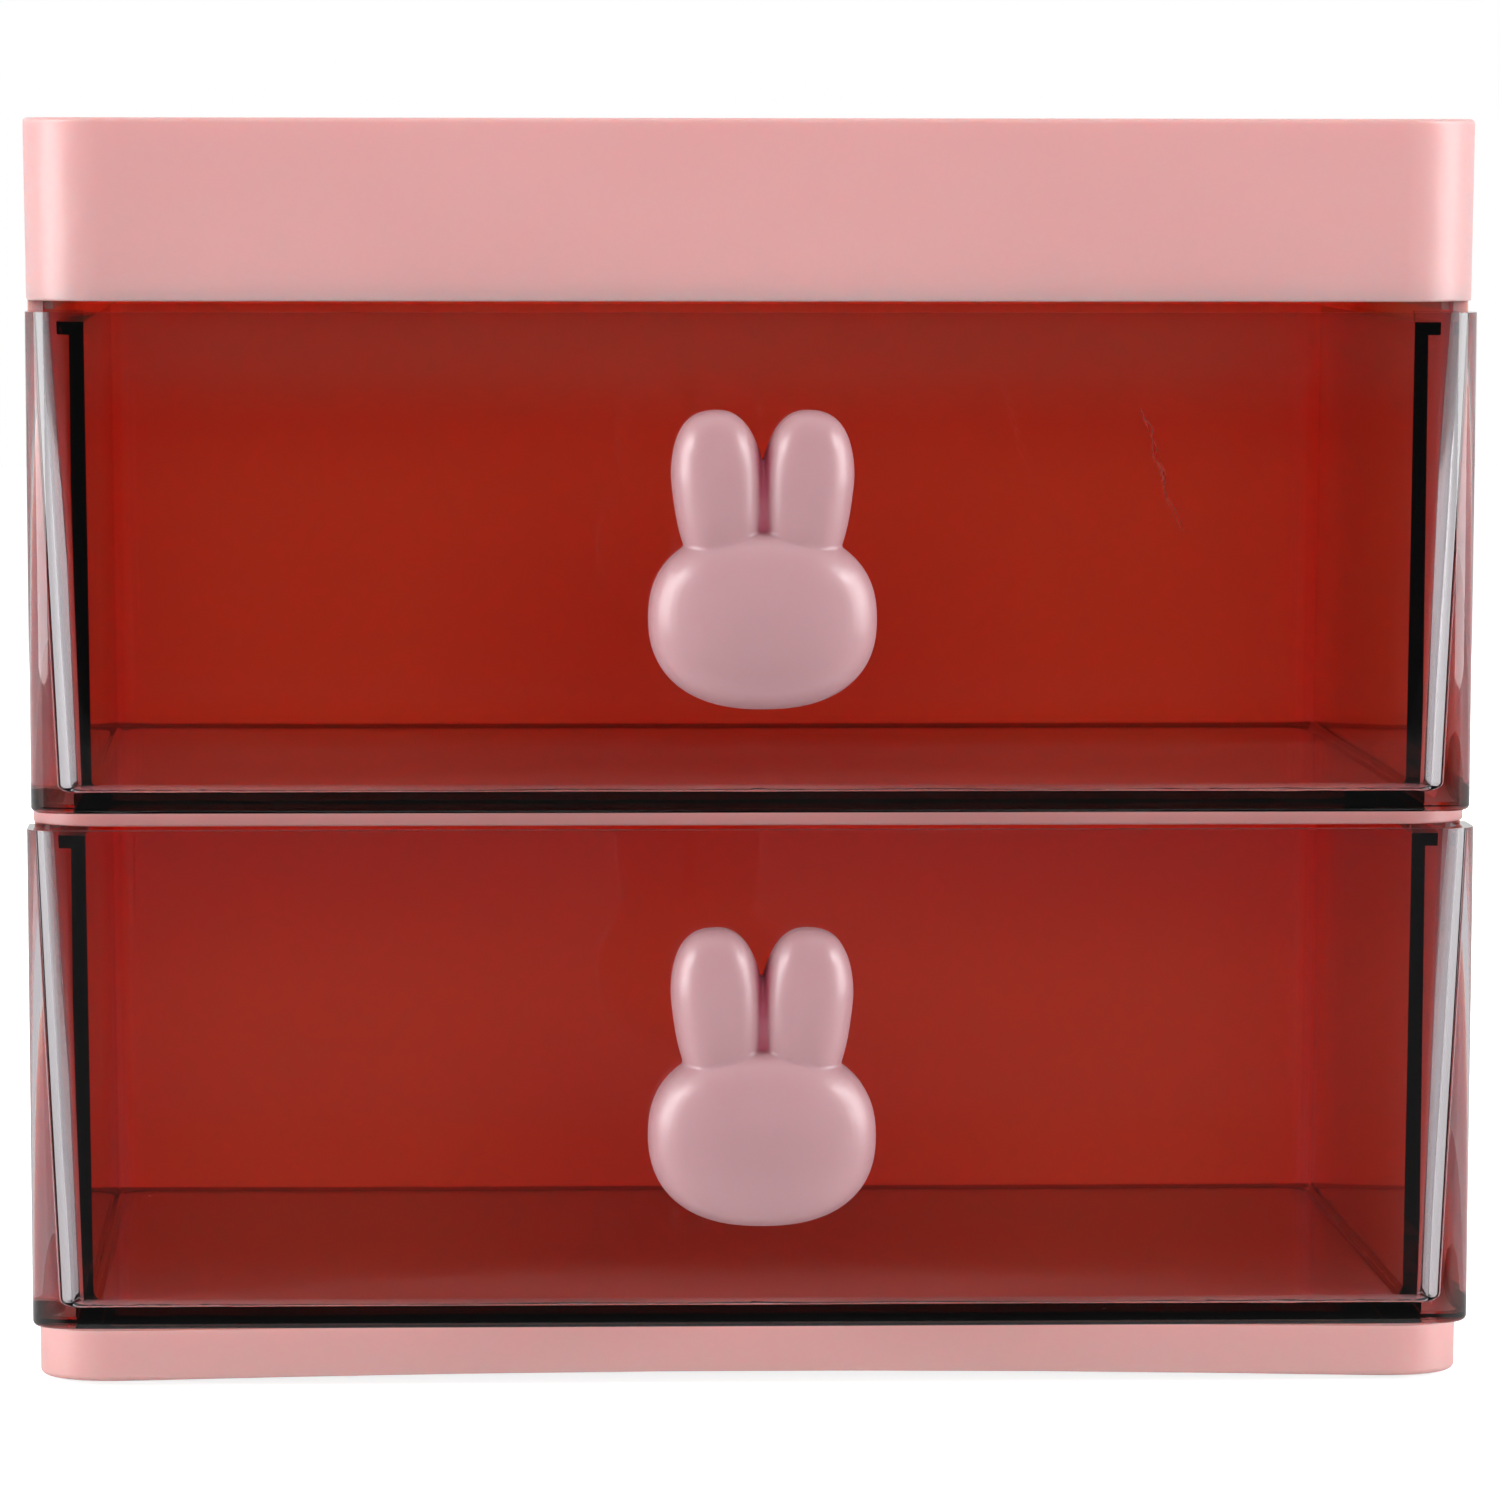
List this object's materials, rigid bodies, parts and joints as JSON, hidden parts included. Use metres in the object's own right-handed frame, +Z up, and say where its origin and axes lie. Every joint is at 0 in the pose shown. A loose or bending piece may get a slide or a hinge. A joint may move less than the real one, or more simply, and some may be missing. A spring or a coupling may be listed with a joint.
{
  "type": "desktop drawer organizer",
  "caption": "Desktop drawer organizer with an open tray on top and clear drawers that slide out of a stacked moulded housing by rabbit-head knobs.",
  "frame": {"origin": "on the floor, under the middle of the box round the whole object, knobs included", "axes": "+Z up, -Y out of the front where the drawers open, +X to the right seen from the front"},
  "size_m": [0.18, 0.1474, 0.1566],
  "materials": {
    "housing": "smooth moulded pink plastic",
    "clear_drawer": "clear moulded plastic",
    "knob": "smooth pale pink plastic",
    "steel": "plated steel",
    "foot_pad": "soft pale rubber"
  },
  "bodies": {
    "housing": {"top_tray": "housing", "upper_case": "housing", "lower_case": "housing", "foot_pad_front_left": "foot_pad", "foot_pad_front_right": "foot_pad", "foot_pad_rear_left": "foot_pad", "foot_pad_rear_right": "foot_pad"},
    "upper_drawer": {"upper_drawer": "clear_drawer", "upper_knob": "knob", "upper_knob_screw": "steel", "upper_knob_washer": "steel"},
    "lower_drawer": {"lower_drawer": "clear_drawer", "lower_knob": "knob", "lower_knob_screw": "steel", "lower_knob_washer": "steel"}
  },
  "joints": [
    {"name": "upper_drawer_slide", "type": "slide", "parent": "housing", "child": "upper_drawer", "axis": [0, -1, 0], "range_m": [0, 0.085]},
    {"name": "lower_drawer_slide", "type": "slide", "parent": "housing", "child": "lower_drawer", "axis": [0, -1, 0], "range_m": [0, 0.085]}
  ]
}
